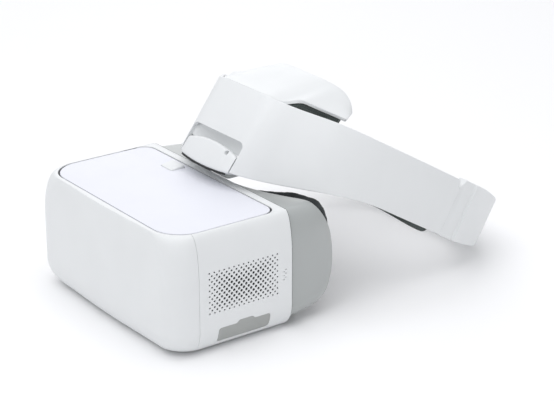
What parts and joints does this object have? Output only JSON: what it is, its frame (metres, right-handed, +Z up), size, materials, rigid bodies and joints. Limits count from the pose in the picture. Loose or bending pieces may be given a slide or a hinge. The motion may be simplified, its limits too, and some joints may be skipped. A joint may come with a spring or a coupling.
{
  "type": "fpv goggles",
  "caption": "Box-shaped video goggles with a grey face shroud, side grille and port flap, on a rigid tilting headband with padded forehead rest and sliding rear adjuster.",
  "frame": {"origin": "on the flat base of the display unit, on its centre plane, under the point 50 mm in front of the seam between casing and face shroud", "axes": "+Z up from the base, +Y from the front face towards the wearer, +X towards the wearer's left"},
  "size_m": [0.2057, 0.3458, 0.1733],
  "materials": {
    "shell_white": "satin white moulded plastic",
    "panel_white": "smooth satin cool white",
    "shroud_grey": "fine matt mid grey",
    "cushion_foam": "fabric-faced foam",
    "inner_black": "fine matt black",
    "screen_dark": "gloss black",
    "optical_glass": "coated glass",
    "mirror_glass": "half-silvered glass",
    "circuit_board": "solder mask",
    "aluminium_plate": "machined",
    "socket_steel": "plated steel",
    "port_rubber": "soft matt grey",
    "control_grey": "fine matt grey",
    "pad_fabric": "dark grey-green knitted fabric over foam",
    "battery_wrap": "heat-shrink film",
    "light_window": "translucent"
  },
  "bodies": {
    "display_unit": {"front_shell": "shell_white", "side_cover_left": "shell_white", "side_cover_right": "shell_white", "top_cover": "panel_white", "bottom_cover": "shell_white", "touch_panel": "panel_white", "fan_grille": "shell_white", "face_shroud": "shroud_grey", "face_cushion": "cushion_foam", "eye_plate": "inner_black", "proximity_window": "screen_dark", "display_panel": "screen_dark", "beam_splitter": "mirror_glass", "main_board": "circuit_board", "heat_spreader": "aluminium_plate", "fan_frame": "inner_black", "ports_board": "circuit_board", "video_socket": "socket_steel", "data_socket": "socket_steel", "card_socket": "socket_steel", "audio_jack": "inner_black", "power_inlet": "inner_black", "speaker_left": "inner_black", "speaker_right": "inner_black", "guide_rod": "socket_steel", "hinge_mount": "shell_white", "cover_screw_1": "socket_steel", "cover_screw_2": "socket_steel", "cover_screw_3": "socket_steel", "cover_screw_4": "socket_steel"},
    "lens_unit_left": {"lens_barrel_left": "inner_black", "lens_left": "optical_glass"},
    "lens_unit_right": {"lens_barrel_right": "inner_black", "lens_right": "optical_glass"},
    "ipd_knob": {"ipd_knob": "inner_black"},
    "fan_rotor": {"fan_rotor": "inner_black"},
    "port_cover": {"port_cover": "port_rubber"},
    "back_button": {"back_button": "control_grey"},
    "function_button": {"function_button": "control_grey"},
    "release_button": {"release_button": "shell_white"},
    "headband": {"band_shell": "shell_white", "band_liner": "shell_white", "crown_cover": "shell_white", "crown_pad": "pad_fabric", "forehead_pad": "pad_fabric", "side_pad_left": "pad_fabric", "side_pad_right": "pad_fabric", "hinge_block": "shell_white", "hinge_pin": "socket_steel", "battery_left": "battery_wrap", "battery_right": "battery_wrap", "band_board": "circuit_board", "power_outlet": "inner_black", "indicator_window": "light_window"},
    "power_button": {"power_button": "control_grey"},
    "rear_adjuster": {"rear_housing": "shell_white", "rear_pad": "pad_fabric", "adjuster_arm_left": "inner_black", "adjuster_arm_right": "inner_black"},
    "adjust_knob": {"adjust_knob": "control_grey"}
  },
  "joints": [
    {"name": "band_tilt", "type": "hinge", "parent": "display_unit", "child": "headband", "pos_m": [0, 0.05, 0.111], "axis": [1, 0, 0], "range_deg": [0, 50]},
    {"name": "rear_slide", "type": "slide", "parent": "headband", "child": "rear_adjuster", "axis": [0, 0.8572, -0.515], "range_m": [0, 0.022]},
    {"name": "adjust_knob_turn", "type": "hinge", "parent": "rear_adjuster", "child": "adjust_knob", "pos_m": [0, 0.27958, 0.01739], "axis": [0, 0.8572, -0.515], "range_deg": [0, 211]},
    {"name": "lens_left_slide", "type": "slide", "parent": "display_unit", "child": "lens_unit_left", "axis": [1, 0, 0], "range_m": [-0.003, 0.003]},
    {"name": "lens_right_slide", "type": "slide", "parent": "display_unit", "child": "lens_unit_right", "axis": [-1, 0, 0], "range_m": [-0.003, 0.003]},
    {"name": "ipd_knob_turn", "type": "hinge", "parent": "display_unit", "child": "ipd_knob", "pos_m": [0, 0.032, 0], "axis": [0, 0, 1], "range_deg": [-35, 35]},
    {"name": "fan_spin", "type": "hinge", "parent": "display_unit", "child": "fan_rotor", "pos_m": [0.0856, 0.006, 0.048], "axis": [1, 0, 0], "continuous": true},
    {"name": "port_cover_flip", "type": "hinge", "parent": "display_unit", "child": "port_cover", "pos_m": [0.0937, 0.007, 0.0078], "axis": [0, 1, 0], "range_deg": [0, 110]},
    {"name": "back_button_press", "type": "slide", "parent": "display_unit", "child": "back_button", "axis": [0, 0, 1], "range_m": [0, 0.001], "stiffness_N_per_m": 600},
    {"name": "function_button_press", "type": "slide", "parent": "display_unit", "child": "function_button", "axis": [0, 0, 1], "range_m": [0, 0.001], "stiffness_N_per_m": 600},
    {"name": "release_button_press", "type": "slide", "parent": "display_unit", "child": "release_button", "axis": [0, 0, -1], "range_m": [0, 0.0012], "stiffness_N_per_m": 800},
    {"name": "power_button_press", "type": "slide", "parent": "headband", "child": "power_button", "axis": [1, 0, 0], "range_m": [0, 0.001], "stiffness_N_per_m": 600}
  ],
  "couplings": [
    {"joint": "adjust_knob_turn", "follows": "rear_slide", "rad_per_m": 166.67},
    {"joint": "ipd_knob_turn", "follows": "lens_left_slide", "rad_per_m": 200},
    {"joint": "lens_right_slide", "follows": "lens_left_slide", "ratio": 1}
  ]
}
